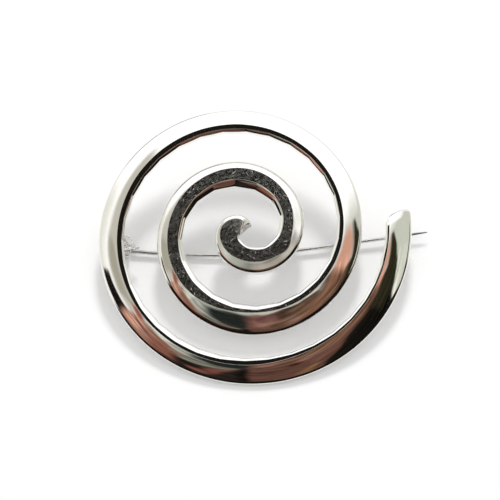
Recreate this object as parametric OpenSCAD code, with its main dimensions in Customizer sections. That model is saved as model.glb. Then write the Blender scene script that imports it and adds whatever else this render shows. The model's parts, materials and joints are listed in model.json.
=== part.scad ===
// Spiral brooch: a flat-backed metal band wound into a spiral, with a hinged pin behind it.
// It lies on its back on a table, as it would by itself: on the near edge of its outer turn, on the
// hinge bracket and on the catch. All sizes are in millimetres.
//
// Each part is drawn in the brooch's own frame, with the flat back in the plane z = 0, the centre of
// the spiral at the origin and the hinge at the left, and is then leaned back to how it rests.

/* [Spiral] */
// Distance from one turn of the band to the next
pitch = 11.1; // [11:0.05:11.2]
// Angle at which an even spiral would start from radius zero
even_start = 75; // [74:0.5:76]
// Radius of the centre line of the small curl at the inner end
curl_r = 2.4; // [2.35:0.05:2.5]
// Length of each flat that is filed along the inner edge
flat_len = 5; // [4.5:0.25:6]
// How roundly the outer slope falls from the top facet to the rim, as a share of the table's own
slope_round = 1; // [0.9:0.05:1.3]

/* [Pin stem] */
// Radius of the pin wire
wire_r = 0.35; // [0.3:0.01:0.4]
// Radius of the bow in the first stretch of the pin
bow_r = 135; // [130:1:150]
// Heading of the pin where it leaves the hinge, seen from the front
bow_from = -7; // [-7.5:0.25:-6.5]
// Heading of the straight stretch of the pin, seen from the front
bow_to = 8.5; // [8:0.25:9]
// Length of the straight stretch, which ends just before the catch
straight_len = 14.3; // [13.5:0.1:14.3]
// Length of the tapered point, which starts in the catch
point_len = 7.2; // [6.4:0.2:7.6]

/* [Hinge] */
// Distance of the pin's pivot behind the back of the band
pivot_drop = 3.35; // [3.25:0.05:3.4]
// Thickness of each ear of the bracket
ear_t = 0.5; // [0.4:0.05:0.6]
// Room between the two ears
ear_gap = 1.9; // [1.8:0.05:2]
// Radius of the rivet
rivet_r = 0.42; // [0.38:0.01:0.44]

/* [Catch] */
// Width of the slot that the pin lies in
slot_w = 1; // [0.95:0.05:1.1]
// Thickness of each cheek of the catch
cheek_t = 0.6; // [0.5:0.05:0.7]

/* [Rest] */
// Angle at which the back leans on the table, with the near edge down
rest_tilt = 9; // [8.5:0.25:9.5]

/* [Hidden] */

// The band by sections along the spiral. The angle counts on from turn to turn. The first five rows
// lie on the curl, a plain arc, and the shift moves the centre line out from an even spiral.
// angle, shift, width, bevel, facet, thickness, rim height, the even share of the slope's fall, the
// power of the rest, rounding of the rim
SECTIONS = [
    [90,   0,     2.8,  0.3,  0.05, 2,    1.45, 0.8,  2,   0.22],
    [100,  0,     3.3,  0.35, 0.5,  2.06, 1.5,  0.8,  2,   0.22],
    [108,  0,     3.7,  0.4,  1.9,  2.1,  1.6,  0.8,  2,   0.22],
    [116,  0,     3.95, 0.4,  2.7,  2.1,  1.75, 0.8,  2,   0.22],
    [130,  0,     4.2,  0.4,  3,    2.1,  1.9,  0.9,  2,   0.22],
    [180,  -0.12, 4.45, 0.4,  3.4,  2.1,  2,    0.9,  2,   0.22],
    [225,  -0.35, 4.75, 0.45, 3,    2.1,  1.95, 1,    2,   0.25],
    [270,  -0.5,  4.95, 0.5,  2.5,  2.1,  1.88, 1,    2,   0.25],
    [315,  -0.3,  4.8,  0.55, 2.3,  2.1,  1.88, 1,    2,   0.25],
    [337,  -0.22, 4.73, 0.62, 2.7,  2.1,  1.94, 1,    2,   0.27],
    [360,  -0.15, 4.66, 0.7,  1.9,  2.1,  1.78, 0.9,  2,   0.3],
    [405,  -0.15, 4.85, 1,    2.1,  2.1,  1.45, 0.4,  2,   0.4],
    [450,  -0.23, 5.26, 1.4,  2.3,  2.1,  1.4,  0.4,  2,   0.3],
    [495,  -0.15, 4.98, 1,    2.2,  2.1,  1.45, 0.5,  2,   0.3],
    [540,  -0.12, 4.74, 0.74, 2.1,  2.1,  1.65, 0.7,  2.5, 0.4],
    [585,  -0.05, 5.4,  1.1,  1.9,  2,    1.45, 0.65, 2,   0.36],
    [630,  0.17,  5.64, 1,    0.6,  1.9,  1.22, 0.57, 2,   0.4],
    [670,  0.05,  5.24, 0.6,  0.8,  1.85, 1.2,  0.57, 2,   0.34],
    [720,  -0.12, 4.8,  0.52, 0.6,  1.8,  1.15, 0.5,  2,   0.3],
    [765,  -0.22, 4.68, 0.54, 0.7,  1.7,  1,    0.4,  2,   0.3],
    [810,  -0.26, 4.72, 0.57, 0.8,  1.6,  0.8,  0.35, 2,   0.24],
    [855,  -0.2,  4.76, 0.54, 0.9,  1.65, 0.8,  0.35, 2,   0.24],
    [900,  -0.07, 4.74, 0.39, 0.85, 1.7,  0.8,  0.35, 2,   0.24],
    [918,  -0.2,  4.7,  0.5,  0.75, 1.7,  0.8,  0.35, 2,   0.24],
    [942,  -0.48, 4.75, 1.05, 0.5,  1.8,  0.8,  0.35, 2,   0.24],
    [970,  -0.82, 4.8,  1.05, 0.55, 1.85, 0.8,  0.35, 2,   0.24],
    [990,  -1.05, 4.8,  0.65, 0.75, 1.9,  0.8,  0.35, 2,   0.24],
    [1010, -1.25, 4.85, 0.5,  0.5,  1.95, 0.8,  0.35, 2,   0.24],
    [1035, -1.5,  4.9,  0.55, 0.3,  2,    0.8,  0.5,  2,   0.24],
    [1072, -1.85, 5,    0.4,  0.2,  2,    0.8,  0.6,  2,   0.24],
    [1086, -1.97, 5,    0.34, 0.2,  1.65, 0.8,  0.6,  2,   0.24],
    [1090, -2,    5,    0.3,  0.05, 1.5,  0.8,  0.6,  2,   0.24]
];
ANGLE = 0;
SHIFT = 1;
WIDTH = 2;
BEVEL = 3;
FACET = 4;
THICK = 5;
RIM = 6;
EVEN = 7;
POWER = 8;
ROLL = 9;

first_angle = SECTIONS[0][ANGLE];
last_angle = SECTIONS[len(SECTIONS) - 1][ANGLE];

// Where the curl's arc takes over from the spiral, and where it ends at its inner and outer edges
curl_from = 180;
curl_end_in = 108;
curl_end_out = 74;
// How much closer to its centre the curl ends
curl_tighten = 0.5;
// Where the tail starts to slant, where it ends at its inner edge and at its rounded top
tail_from = 1050;
tail_end_in = 1082.5;
tail_end_top = 1088.4;
// How far across the tail its top lies, and how far its outer corner is rounded back, in degrees
tail_top_at = 0.88;
tail_corner = 1.6;

// How far the bevel falls to the inner edge, for each millimetre of its width
bevel_fall = 0.46;
// How steep the bevel starts, as a share of an even fall, and the power of the rest of its curve
bevel_start = 0.24;
bevel_power = 2.8;
// Deepest that a filed flat may cut, and the part of it that shows on the top facet's edge
flat_cut_max = 0.15;
flat_on_facet = 0.35;
// How far the rim's rounding falls, for each millimetre of its width, and how low it may reach
roll_fall = 1.25;
roll_lowest = 0.2;
// How far the outer edge of the back is rounded
foot_round = 0.45;
// Steps across the outer slope, the rim's rounding, the foot's rounding and the bevel
slope_steps = 5;
roll_steps = 3;
foot_steps = 2;
bevel_steps = 3;
// The widest step along the band in degrees
angle_step = 6;

function row_at(t, k = 0) =
    (k >= len(SECTIONS) - 2 || t < SECTIONS[k + 1][ANGLE]) ? k : row_at(t, k + 1);

// Slope of a column of the table at row k, from its neighbours
function row_slope(col, k) =
    let (a = max(k - 1, 0), b = min(k + 1, len(SECTIONS) - 1))
    (SECTIONS[b][col] - SECTIONS[a][col]) / (SECTIONS[b][ANGLE] - SECTIONS[a][ANGLE]);

// A column of the table at any angle, on a smooth curve through its rows
function section(col, t) =
    let (
        k = row_at(t),
        h = SECTIONS[k + 1][ANGLE] - SECTIONS[k][ANGLE],
        u = (min(t, last_angle) - SECTIONS[k][ANGLE]) / h,
        u2 = u * u,
        u3 = u2 * u
    )
    (2 * u3 - 3 * u2 + 1) * SECTIONS[k][col]
    + (u3 - 2 * u2 + u) * h * row_slope(col, k)
    + (3 * u2 - 2 * u3) * SECTIONS[k + 1][col]
    + (u3 - u2) * h * row_slope(col, k + 1);

function unit(v) = v / norm(v);

// The centre line of the spiral, from the curl's start outwards
function spiral_at(t) =
    (pitch * (t - even_start) / 360 + section(SHIFT, t)) * [cos(t), sin(t)];

// The heading of the spiral, and the direction across it to the outside
function heading(t) = unit(spiral_at(t + 0.25) - spiral_at(t <= curl_from ? t : t - 0.25));
function outward(t) = let (d = heading(t)) [d[1], -d[0]];

curl_out = outward(curl_from);
curl_centre = spiral_at(curl_from) - curl_r * curl_out;
curl_turn = atan2(curl_out[1], curl_out[0]);

// A point q across the band from its centre line
function across(t, q) =
    t < curl_from
        ? let (
            a = curl_turn - (curl_from - t),
            r = curl_r - curl_tighten * pow((curl_from - t) / (curl_from - first_angle), 2)
        )
        curl_centre + (r + q) * [cos(a), sin(a)]
        : spiral_at(t) + q * outward(t);

// The outline of the two ends: the angle that the part f of the way across really reaches
function tail_end(f) =
    f < tail_top_at
        ? tail_end_in + (tail_end_top - tail_end_in) * sqrt(1 - pow(1 - f / tail_top_at, 2))
        : tail_end_top - tail_corner * pow((f - tail_top_at) / (1 - tail_top_at), 2);
function curl_end(f) = curl_end_in - (curl_end_in - curl_end_out) * f;
function ended(t, f) =
    t < curl_from
        ? curl_from - (curl_from - t) * (curl_from - curl_end(f)) / (curl_from - first_angle)
        : t <= tail_from
            ? t
            : tail_from + (t - tail_from) * (tail_end(f) - tail_from) / (last_angle - tail_from);

// The corners between the filed flats, at equal lengths along the spiral
function corner_angle(k) = even_start + 360 / pitch * sqrt(k * flat_len * pitch / PI);
corner_count = floor(PI * pow(pitch * (last_angle - even_start) / 360, 2) / pitch / flat_len);
function flat_cut(t, u) =
    let (r = pitch * (t - even_start) / 360 - section(WIDTH, t) / 2)
    min(flat_len * flat_len / (8 * max(r, 1)), flat_cut_max) * (4 * u * (1 - u) - 0.5);

// The stations along the band, each with its angle and how deep a filed flat stands there
STATIONS = concat(
    [for (t = [first_angle : angle_step : corner_angle(1) - 1]) [t, 0]],
    [for (k = [1 : corner_count - 1])
        let (
            a = corner_angle(k),
            b = corner_angle(k + 1),
            steps = max(3, ceil((b - a) / angle_step))
        )
        for (j = [0 : steps - 1])
            let (t = a + (b - a) * j / steps)
            [t, flat_cut(t, j / steps)]],
    [for (t = [corner_angle(corner_count) : 1.6 : last_angle - 0.8]) [t, 0]],
    [[last_angle, 0]]
);

// A point at the share u of a curve from a to c that is drawn towards the corner b
function bend(a, b, c, u) = a * pow(1 - u, 2) + b * 2 * u * (1 - u) + c * u * u;

// The band's section as rows of [across, height], from the inner edge of the back, anticlockwise
function ring(t, cut) =
    let (
        half = section(WIDTH, t) / 2,
        thick = section(THICK, t),
        bevel = section(BEVEL, t),
        fall = thick - section(RIM, t),
        even = section(EVEN, t),
        power = slope_round * section(POWER, t),
        facet_out = -half + bevel + section(FACET, t),
        facet_in = -half + bevel - flat_on_facet * cut,
        span = half - facet_out,
        roll = min(section(ROLL, t), span / 4),
        run_to = 1 - 2 * roll / span,
        slope = function (x) [facet_out + span * x, thick - fall * (even * x + (1 - even) * pow(x, power))],
        steepness = fall / span * (even + (1 - even) * power * pow(run_to, power - 1)),
        corner = [half - roll, slope(run_to)[1] - steepness * roll],
        rim = [half, max(corner[1] - roll_fall * roll, roll_lowest)]
    )
    concat(
        [[-half - cut, 0]],
        [for (i = [0 : foot_steps])
            bend([half - foot_round, 0], [half, 0], [half, min(foot_round, rim[1] - 0.05)], i / foot_steps)],
        [for (i = [0 : roll_steps]) bend(rim, corner, slope(run_to), i / roll_steps)],
        [for (i = [slope_steps - 1 : -1 : 0]) slope(run_to * i / slope_steps)],
        [for (i = [0 : bevel_steps])
            let (u = i / bevel_steps)
            [
                facet_in + (-half - cut - facet_in) * u,
                thick - bevel_fall * bevel * (bevel_start * u + (1 - bevel_start) * pow(u, bevel_power))
            ]]
    );
ring_n = foot_steps + roll_steps + slope_steps + bevel_steps + 4;

function station_points(s) =
    let (t = s[0], half = section(WIDTH, t) / 2)
    [for (p = ring(t, s[1]))
        let (f = min(max((p[0] + half) / (2 * half), 0), 1), xy = across(ended(t, f), p[0]))
        [xy[0], xy[1], p[1]]];

band_points = [for (s = STATIONS) each station_points(s)];
last_ring = (len(STATIONS) - 1) * ring_n;
band_faces = concat(
    [for (j = [1 : ring_n - 2]) [0, j + 1, j]],
    [for (i = [0 : len(STATIONS) - 2], j = [0 : ring_n - 1])
        let (a = i * ring_n + j, b = i * ring_n + (j + 1) % ring_n)
        each [[a, b, b + ring_n], [a, b + ring_n, a + ring_n]]],
    [for (j = [1 : ring_n - 2]) [last_ring, last_ring + j, last_ring + j + 1]]
);

// How the brooch rests: its near edge and its far edge, and how high the centre of its back lies
near_edge = min([for (p = band_points) p[1]]);
far_edge = max([for (p = band_points) p[1]]);
left_edge = min([for (p = band_points) p[0]]);
lift = -min([for (p = band_points) p[1] * sin(rest_tilt) + p[2] * cos(rest_tilt)]);

// Distance of the table behind the back at the height y up the brooch
function table_drop(y) = (lift + y * sin(rest_tilt)) / cos(rest_tilt);

// The hinge: its pivot, the middle of its ears and where the wire leaves its eye
pivot_x = -22.8;
hinge_y = -2;
wire_y = -2.35;
// Thickness of the base plate, and how deep plate and catch are sunk into the back
plate_t = 0.45;
sunk = 0.15;
// Outline of the base plate, with the tab that shows beside the band
PLATE = [
    [-26.2, -3.55], [-22.9, -3.55], [-21.9, -3.2], [-20.6, -3], [-20.1, -2.7],
    [-21.6, -1.45], [-22, -0.7], [-22.3, -0.45], [-26.2, -0.45]
];
// The near ear stands on the table, so this is how far both ears reach round the pivot
ear_reach = ear_gap / 2 + ear_t;
ear_r = table_drop(hinge_y - ear_reach) - pivot_drop;
// Gap round the rivet in the ears and in the eye, the eye and the gap beside it, the rivet's heads
bore_gap = 0.02;
eye_gap = 0.04;
eye_r = 0.75;
eye_side_gap = 0.05;
head_r = 0.6;
head_t = 0.25;

// The end of the bow, the straight stretch and the tip
bow_x = pivot_x + bow_r * (sin(bow_to) - sin(bow_from));
bow_y = wire_y + bow_r * (cos(bow_from) - cos(bow_to));
tip_x = bow_x + (straight_len + point_len) * cos(bow_to);
tip_r = 0.06;
// The bow is a hair thicker than the straight stretch, which starts a little way inside it
bow_wire_r = wire_r + 0.01;
straight_lap = 0.5;

// The catch: where along the pin it stands
catch_along = 15.9;
catch_len = 2.2;
catch_room = 0.12;
catch_x = bow_x + catch_along * cos(bow_to);
catch_y = bow_y + catch_along * sin(bow_to);
catch_w = slot_w + 2 * cheek_t;
catch_near = catch_y - catch_w / 2 * cos(bow_to) - catch_len / 2 * sin(bow_to);

shift_x = -(left_edge + tip_x) / 2;
shift_y = -(near_edge + far_edge) / 2 * cos(rest_tilt);

// Leans a part of the brooch back from its own frame to how it rests on the table
module at_rest() {
    translate([shift_x, shift_y, lift]) rotate([rest_tilt, 0, 0]) children();
}

module band() {
    polyhedron(points = band_points, faces = band_faces, convexity = 12);
}

// A round bar along y, centred on the pivot
module pivot_bar(r, y_from, y_to) {
    translate([pivot_x, y_to, -pivot_drop])
        rotate([90, 0, 0])
            cylinder(r = r, h = y_to - y_from, $fn = 48);
}

module ear(y_from) {
    translate([pivot_x - ear_r, y_from, -pivot_drop])
        cube([2 * ear_r, ear_t, pivot_drop - plate_t + sunk]);
    pivot_bar(ear_r, y_from, y_from + ear_t);
}

module hinge_bracket() {
    difference() {
        union() {
            translate([0, 0, -plate_t])
                linear_extrude(plate_t + sunk)
                    polygon(PLATE);
            ear(hinge_y - ear_reach);
            ear(hinge_y + ear_gap / 2);
        }
        pivot_bar(rivet_r + bore_gap, hinge_y - ear_reach - 1, hinge_y + ear_reach + 1);
    }
}

module catch() {
    slot_floor = pivot_drop - wire_r - catch_room;
    foot = table_drop(catch_near);
    translate([catch_x, catch_y, 0])
        rotate([0, 0, bow_to])
            difference() {
                translate([-catch_len / 2, -catch_w / 2, -foot])
                    cube([catch_len, catch_w, foot + sunk]);
                translate([-catch_len, -slot_w / 2, -foot - 1])
                    cube([2 * catch_len, slot_w, foot + 1 - slot_floor]);
            }
}

module spiral_band() {
    color([0.86, 0.86, 0.84])
        at_rest() {
            band();
            hinge_bracket();
            catch();
        }
}

module hinge_rivet() {
    color([0.78, 0.78, 0.76])
        at_rest() {
            head_y = ear_reach + bore_gap;
            pivot_bar(rivet_r, hinge_y - head_y, hinge_y + head_y);
            pivot_bar(head_r, hinge_y - head_y - head_t, hinge_y - head_y);
            pivot_bar(head_r, hinge_y + head_y, hinge_y + head_y + head_t);
        }
}

// The wire as laid in the plane through the pivot that is parallel to the back
module pin_wire() {
    translate([pivot_x - bow_r * sin(bow_from), wire_y + bow_r * cos(bow_from), -pivot_drop])
        rotate([0, 0, -90 + bow_from])
            rotate_extrude(angle = bow_to - bow_from, $fn = 360)
                translate([bow_r, 0])
                    circle(r = bow_wire_r, $fn = 24);
    translate([bow_x, bow_y, -pivot_drop])
        rotate([90, 0, 90 + bow_to])
            rotate_extrude($fn = 24)
                polygon([
                    [0, -straight_lap], [wire_r, -straight_lap], [wire_r, straight_len],
                    [tip_r, straight_len + point_len], [0, straight_len + point_len]
                ]);
}

module pin_stem() {
    eye_y = ear_gap / 2 - eye_side_gap;
    color([0.72, 0.72, 0.7])
        at_rest()
            difference() {
                union() {
                    pivot_bar(eye_r, hinge_y - eye_y, hinge_y + eye_y);
                    pin_wire();
                }
                pivot_bar(rivet_r + eye_gap, hinge_y - ear_gap, hinge_y + ear_gap);
            }
}

spiral_band();
hinge_rivet();
pin_stem();
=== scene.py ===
"""Dresses the spiral brooch: the wound silver band, its hinge bracket and catch, the rivet and the pin.

Every piece is drawn in the brooch's own frame in millimetres, with the flat back in the plane z = 0 and the
centre of the spiral at the origin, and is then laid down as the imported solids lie.
"""
import json
import math
from functools import lru_cache

import bmesh
import bpy
from bpy.props import FloatProperty, FloatVectorProperty, PointerProperty
from bpy.types import Operator, Panel, PropertyGroup
from mathutils import Matrix, Vector, noise


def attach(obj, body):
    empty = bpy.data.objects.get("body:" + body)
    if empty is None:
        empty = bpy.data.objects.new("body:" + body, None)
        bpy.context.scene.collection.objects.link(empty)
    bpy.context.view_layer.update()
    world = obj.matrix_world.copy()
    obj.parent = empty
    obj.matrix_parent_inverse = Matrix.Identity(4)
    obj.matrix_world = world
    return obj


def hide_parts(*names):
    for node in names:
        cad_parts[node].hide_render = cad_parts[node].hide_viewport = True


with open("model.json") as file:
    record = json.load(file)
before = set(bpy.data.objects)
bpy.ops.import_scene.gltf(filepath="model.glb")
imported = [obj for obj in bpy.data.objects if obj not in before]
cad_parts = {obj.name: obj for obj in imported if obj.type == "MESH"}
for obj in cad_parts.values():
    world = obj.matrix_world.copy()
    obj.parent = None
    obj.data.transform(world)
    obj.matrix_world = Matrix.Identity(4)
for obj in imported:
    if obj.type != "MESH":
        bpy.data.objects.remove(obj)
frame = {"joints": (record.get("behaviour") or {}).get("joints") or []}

bl_info = {
    "name": "Spiral brooch",
    "version": (1, 0, 0),
    "blender": (4, 5, 0),
    "location": "View3D > Sidebar > Brooch",
    "description": "Builds a silver spiral brooch with a hinged pin, on a plain studio floor",
    "category": "Object",
}

MM = 0.001

# Sizes of the wound band

# The band by sections along the spiral: the angle counts on from turn to turn
# angle, shift, width, bevel, facet, thickness, rim height, the even share of the slope's fall, the power of
# the rest, rounding of the rim
SECTIONS = [
    (90,    0.00, 2.8,  0.30, 0.05, 2.0,  1.45, 0.8,  2.0, 0.22),
    (100,   0.00, 3.3,  0.35, 0.5,  2.06, 1.5,  0.8,  2.0, 0.22),
    (108,   0.00, 3.7,  0.40, 1.9,  2.1,  1.6,  0.8,  2.0, 0.22),
    (116,   0.00, 3.95, 0.40, 2.7,  2.1,  1.75, 0.8,  2.0, 0.22),
    (130,   0.00, 4.2,  0.40, 3.0,  2.1,  1.9,  0.9,  2.0, 0.22),
    (180,  -0.12, 4.45, 0.40, 3.4,  2.1,  2.0,  0.9,  2.0, 0.22),
    (225,  -0.35, 4.75, 0.45, 3.0,  2.1,  1.95, 1.0,  2.0, 0.25),
    (270,  -0.50, 4.95, 0.50, 2.5,  2.1,  1.88, 1.0,  2.0, 0.25),
    (315,  -0.30, 4.80, 0.55, 2.3,  2.1,  1.88, 1.0,  2.0, 0.25),
    (337,  -0.22, 4.73, 0.62, 2.7,  2.1,  1.96, 1.0,  2.0, 0.27),
    (360,  -0.15, 4.66, 0.70, 1.9,  2.1,  1.92, 0.9,  2.0, 0.3),
    (405,  -0.15, 4.85, 1.00, 2.1,  2.1,  1.45, 0.4,  2.0, 0.4),
    (450,  -0.23, 5.26, 1.40, 2.3,  2.1,  1.4,  0.4,  2.0, 0.3),
    (495,  -0.15, 4.98, 1.00, 2.2,  2.1,  1.45, 0.5,  2.0, 0.3),
    (540,  -0.12, 4.74, 0.74, 2.1,  2.1,  1.65, 0.7,  2.5, 0.4),
    (585,  -0.05, 5.40, 1.10, 1.9,  2.0,  1.45, 0.65, 2.0, 0.36),
    (630,   0.17, 5.64, 1.00, 0.6,  1.9,  1.22, 0.57, 2.0, 0.40),
    (670,   0.05, 5.24, 0.60, 0.8,  1.85, 1.2,  0.57, 2.0, 0.34),
    (720,  -0.12, 4.80, 0.52, 0.6,  1.8,  1.15, 0.5,  2.0, 0.3),
    (765,  -0.22, 4.68, 0.54, 0.7,  1.7,  1.0,  0.4,  2.0, 0.3),
    (810,  -0.26, 4.72, 0.57, 0.8,  1.6,  0.8,  0.35, 2.0, 0.24),
    (855,  -0.20, 4.76, 0.54, 0.9,  1.65, 0.8,  0.35, 2.0, 0.24),
    (900,  -0.07, 4.74, 0.39, 0.85, 1.7,  0.8,  0.35, 2.0, 0.24),
    (918,  -0.20, 4.70, 0.50, 0.75, 1.7,  0.8,  0.35, 2.0, 0.24),
    (942,  -0.48, 4.75, 1.05, 0.5,  1.8,  0.8,  0.35, 2.0, 0.24),
    (970,  -0.82, 4.80, 1.05, 0.55, 1.85, 0.8,  0.35, 2.0, 0.24),
    (990,  -1.05, 4.80, 0.65, 0.75, 1.9,  0.8,  0.35, 2.0, 0.24),
    (1010, -1.25, 4.85, 0.50, 0.5,  1.95, 0.8,  0.35, 2.0, 0.24),
    (1035, -1.50, 4.90, 0.55, 0.3,  2.0,  0.8,  0.5,  2.0, 0.24),
    (1072, -1.85, 5.00, 0.40, 0.25, 2.0,  0.6,  0.36, 2.0, 0.24),
    (1086, -1.97, 5.00, 0.34, 0.3,  1.9,  0.7,  0.5,  2.0, 0.24),
    (1090, -2.00, 5.00, 0.30, 0.2,  1.7,  0.75, 0.5,  2.0, 0.24),
]
ANGLE, SHIFT, WIDTH, BEVEL, FACET, THICK, RIM, EVEN, POWER, ROLL = range(10)
FIRST_ANGLE, LAST_ANGLE = SECTIONS[0][ANGLE], SECTIONS[-1][ANGLE]

CURL_FROM = 180          # where the curl's arc takes over from the spiral
CURL_END_IN, CURL_END_OUT = 108, 74     # where the curl ends at its inner and its outer edge
CURL_TIGHTEN = 0.5       # how much closer to its centre the curl ends
TAIL_FROM = 1050         # where the tail starts to slant
TAIL_END_IN, TAIL_END_TOP = 1082.5, 1088.4      # where it ends at its inner edge and at its furthest place
TAIL_TOP_AT = 0.88       # how far across the band the furthest place is
TAIL_CORNER = 1.6        # how many degrees the outer corner falls back
GROOVE = 0.3             # size of the narrow groove round the face at each end
GROOVE_TURNS = (70, 45, 22)     # where its rings lie on their quarter circle, in degrees
BEVEL_FALL = 0.46        # how far the shoulder falls, for each millimetre of its width
BEVEL_START = 0.24       # how steep it starts, as a share of an even fall
BEVEL_POWER = 2.0        # the power of the rest of its curve
FLAT_CUT_MAX = 0.15      # the most that a filed flat changes the inner edge
FLAT_ON_FACET = 0.35     # how much of that reaches the facet's edge
FLATS_TO = 1075          # where the filed flats end
NEAREST_FLAT = 1.0       # least radius that a flat is worked out for

# Sizes of the fittings

PIVOT = (-22.8, -2.0, -3.35)     # middle of the rivet
WIRE_Y = -2.35           # where the wire leaves the eye
# Outline of the bracket's plate
PLATE = [(-26.2, -3.55), (-22.9, -3.55), (-21.9, -3.2), (-20.6, -3.0), (-20.1, -2.7),
         (-21.6, -1.45), (-22.0, -0.7), (-22.3, -0.45), (-26.2, -0.45)]
PLATE_T = 0.45
EAR_T, EAR_GAP, EAR_R = 0.5, 1.9, 0.72
EAR_STEPS, EAR_SOFT = 24, 0.045
FLARE_R, FLARE_TURN, FLARE_STEPS = 0.22, 75, 5      # how the ear's foot widens
RIVET_R, RIVET_SIDES = 0.42, 40
HEAD_R, HEAD_T, HEAD_STEPS = 0.6, 0.25, 6
HEAD_FULL = 0.8          # how full the head's dome is
HEAD_EDGE = 0.25         # height of the dome's edge, as a share of the head's
HEAD_CUT = (0.03, 0.02)  # the cut under the dome's edge, inwards and down
BORE_GAP = 0.02          # play of the rivet in the ears
EYE_GAP, EYE_R, EYE_SIDES = 0.04, 0.75, 48
EYE_ROOM = 0.05          # room between the eye and each ear
EYE_ROUND, EYE_STEPS = 0.08, 4
EYE_FLAT = 0.3           # half the length of the eye's straight side
EYE_CUT = 0.03           # the cut round both mouths of the eye's bore
BOW_R, BOW_FROM, BOW_TO = 135.0, -7.0, 8.5
STRAIGHT_LEN, POINT_LEN, TIP_R = 14.3, 7.2, 0.06
BOW_STEPS, STRAIGHT_STEPS, POINT_STEPS, WIRE_SIDES = 110, 39, 24, 24
SKIPPED_STEPS = 3        # steps of the bow left out at the eye, so that the wire starts 0.2 mm clear of it
POINT_POWER = 0.55       # how full the point is
TIP_LEN = 0.6            # length of the very tip, as a share of its radius
SPREAD, SPREAD_LEN = 0.35, 1.6      # how much wider the wire gets at the eye, and over what length
CATCH_ALONG, CATCH_LEN, CHEEK_T, SLOT_W, CATCH_ROOM = 15.9, 2.2, 0.6, 1.0, 0.12
SLOT_ROUND, SLOT_STEPS = 0.12, 8
SINK, EAR_SINK = 0.05, 0.1      # how far the catch and the ears reach into what they are soldered to


class BroochSizes(PropertyGroup):
    """Sizes that a user may change"""
    pitch: FloatProperty(name="Pitch", description="Distance from one turn of the band to the next",
                         default=11.1 * MM, min=0.0, unit="LENGTH", precision=5)
    even_start: FloatProperty(name="Start angle", default=math.radians(75), subtype="ANGLE",
                              description="Angle at which an even spiral would have no radius")
    curl_radius: FloatProperty(name="Curl radius", description="Radius of the centre line of the inner curl",
                               default=2.4 * MM, min=0.0, unit="LENGTH", precision=5)
    flat_length: FloatProperty(name="Filed flats", default=5.0 * MM, min=0.0, unit="LENGTH", precision=5,
                               description="Length of each flat filed along the inner edge")
    wire_radius: FloatProperty(name="Pin wire", description="Radius of the pin wire",
                               default=0.35 * MM, min=0.0, unit="LENGTH", precision=5)
    edge_radius: FloatProperty(name="Edge rounding", description="How far the band's edges are rubbed round",
                               default=0.05 * MM, min=0.0, unit="LENGTH", precision=5)


class BroochFinish(PropertyGroup):
    """Colours, roughnesses and lights that a user may change"""
    silver: FloatVectorProperty(name="Silver", description="Colour of the polished silver", subtype="COLOR",
                                default=(0.93, 0.92, 0.89), min=0.0, max=1.0)
    satin: FloatVectorProperty(name="Satin back", description="Colour of the satin back", subtype="COLOR",
                               default=(0.94, 0.93, 0.92), min=0.0, max=1.0)
    steel: FloatVectorProperty(name="Pin steel", description="Colour of the drawn pin wire", subtype="COLOR",
                               default=(0.86, 0.86, 0.84), min=0.0, max=1.0)
    slope_roughness: FloatProperty(name="Slope roughness", description="Roughness of the polished slopes",
                                   default=0.05, min=0.0, max=1.0, subtype="FACTOR")
    facet_roughness: FloatProperty(name="Facet roughness", default=0.04, min=0.0, max=1.0, subtype="FACTOR",
                                   description="How much rougher the filed top facet is than the slopes")
    floor: FloatVectorProperty(name="Floor", description="Colour of the studio floor", subtype="COLOR",
                               default=(0.93, 0.93, 0.925), min=0.0, max=1.0)
    key_power: FloatProperty(name="Key light", description="Power of the soft light behind the brooch",
                             default=2.5, min=0.0, unit="POWER")
    fill_strength: FloatProperty(name="Fill light", description="Strength of the even light from all sides",
                                 default=0.82, min=0.0)


# The spiral

HEADING_STEP = 0.25      # degrees between the two points that give the spiral's heading
FLAT_MIDDLE = 0.5        # the share of a flat's height by which it is sunk as a whole


def sizes():
    return bpy.context.scene.brooch_sizes


def finishes():
    return bpy.context.scene.brooch_finish


def smooth_step(low, high, x):
    u = min(max((x - low) / (high - low), 0.0), 1.0)
    return u * u * (3 - 2 * u)


def row_slope(col, k):
    a, b = max(k - 1, 0), min(k + 1, len(SECTIONS) - 1)
    return (SECTIONS[b][col] - SECTIONS[a][col]) / (SECTIONS[b][ANGLE] - SECTIONS[a][ANGLE])


def section(col, t):
    """A column of the table at any angle, on a smooth curve through its rows."""
    t = min(t, LAST_ANGLE)
    k = max(i for i in range(len(SECTIONS) - 1) if SECTIONS[i][ANGLE] <= t)
    h = SECTIONS[k + 1][ANGLE] - SECTIONS[k][ANGLE]
    u = (t - SECTIONS[k][ANGLE]) / h
    u2, u3 = u * u, u * u * u
    return ((2 * u3 - 3 * u2 + 1) * SECTIONS[k][col] + (u3 - 2 * u2 + u) * h * row_slope(col, k)
            + (3 * u2 - 2 * u3) * SECTIONS[k + 1][col] + (u3 - u2) * h * row_slope(col, k + 1))


def even_radius(t):
    s = sizes()
    return s.pitch / MM * (t - math.degrees(s.even_start)) / 360


@lru_cache(maxsize=None)
def spiral_at(t):
    r = even_radius(t) + section(SHIFT, t)
    return Vector((r * math.cos(math.radians(t)), r * math.sin(math.radians(t))))


@lru_cache(maxsize=None)
def outward(t):
    d = spiral_at(t + HEADING_STEP) - spiral_at(t if t <= CURL_FROM else t - HEADING_STEP)
    d.normalize()
    return Vector((d.y, -d.x))


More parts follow.
